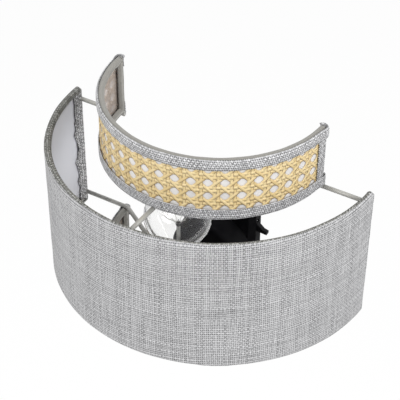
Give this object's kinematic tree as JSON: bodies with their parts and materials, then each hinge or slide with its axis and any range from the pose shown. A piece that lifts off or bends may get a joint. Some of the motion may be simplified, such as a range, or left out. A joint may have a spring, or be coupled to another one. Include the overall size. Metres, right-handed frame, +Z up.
{
  "type": "wall sconce",
  "caption": "Half drum wall sconce: grey linen shade round two half rings of cane webbing on a wire frame, clear bulb, black canopy with a toggle switch.",
  "frame": {"origin": "middle of the wall bracket's back face, on the wall", "axes": "+Z up, -Y out of the wall towards the viewer, +X to the viewer's right"},
  "size_m": [0.3, 0.164, 0.2268],
  "materials": {
    "black_metal": "matt black powder coat",
    "black_plastic": "moulded, fine grain",
    "zinc_steel": "zinc plated",
    "brass": "plain",
    "white_nylon": "moulded",
    "black_rubber": "plain",
    "white_ceramic": "glazed",
    "painted_wire": "warm grey paint",
    "grey_linen": "slubbed plain weave",
    "white_liner": "smooth sheet",
    "white_film": "smooth sheet",
    "cane": "natural cane webbing",
    "grey_tape": "woven tape",
    "greige_binding": "bias cloth",
    "clear_glass": "clear",
    "cap_metal": "rolled",
    "black_glass": "vitreous",
    "tungsten": "drawn wire"
  },
  "bodies": {
    "fixture": {"back_box": "black_metal", "canopy_cup": "black_metal", "arm_collar": "black_metal", "holder_arm": "black_metal", "box_screws": "black_metal", "holder_base": "black_plastic", "holder_body": "black_plastic", "switch_body": "black_plastic", "wall_bracket": "zinc_steel", "canopy_screws": "zinc_steel", "arm_nut": "zinc_steel", "base_nut": "zinc_steel", "terminal_screws": "zinc_steel", "switch_pin": "zinc_steel", "earth_screw": "brass", "earth_washer": "brass", "centre_contact": "brass", "screw_shell": "brass", "terminal_block": "white_nylon", "cable_grommet": "black_rubber", "holder_insulator": "white_ceramic", "fitter_ring": "painted_wire", "spider_wires": "painted_wire", "upper_spokes": "painted_wire", "outer_top_hoop": "painted_wire", "outer_bottom_hoop": "painted_wire", "outer_posts": "painted_wire", "upper_hoops": "painted_wire", "upper_posts": "painted_wire", "lower_hoops": "painted_wire", "lower_posts": "painted_wire", "outer_linen": "grey_linen", "outer_end_folds": "grey_linen", "outer_liner": "white_liner", "upper_film": "white_film", "lower_film": "white_film", "upper_cane": "cane", "lower_cane": "cane", "upper_top_tape": "grey_tape", "upper_bottom_tape": "grey_tape", "upper_end_tapes": "grey_tape", "lower_top_tape": "grey_tape", "lower_bottom_tape": "grey_tape", "lower_end_tapes": "grey_tape", "upper_binding": "greige_binding", "lower_binding": "greige_binding"},
    "lever": {"switch_lever": "black_plastic"},
    "bulb": {"bulb_glass": "clear_glass", "bulb_cap": "cap_metal", "bulb_insulator": "black_glass", "bulb_contact": "cap_metal", "bulb_stem": "clear_glass", "filament": "tungsten", "filament_supports": "tungsten"},
    "clamp": {"ring_nut": "black_plastic"}
  },
  "joints": [
    {"name": "switch_toggle", "type": "hinge", "parent": "fixture", "child": "lever", "pos_m": [0.032, -0.006, 0.0335], "axis": [0, -1, 0], "range_deg": [0, 26]},
    {"name": "bulb_turn", "type": "hinge", "parent": "fixture", "child": "bulb", "pos_m": [0, -0.079, 0.02], "axis": [0, 0, 1], "continuous": true},
    {"name": "clamp_turn", "type": "hinge", "parent": "fixture", "child": "clamp", "pos_m": [0, -0.079, 0.008], "axis": [0, 0, 1], "continuous": true}
  ]
}
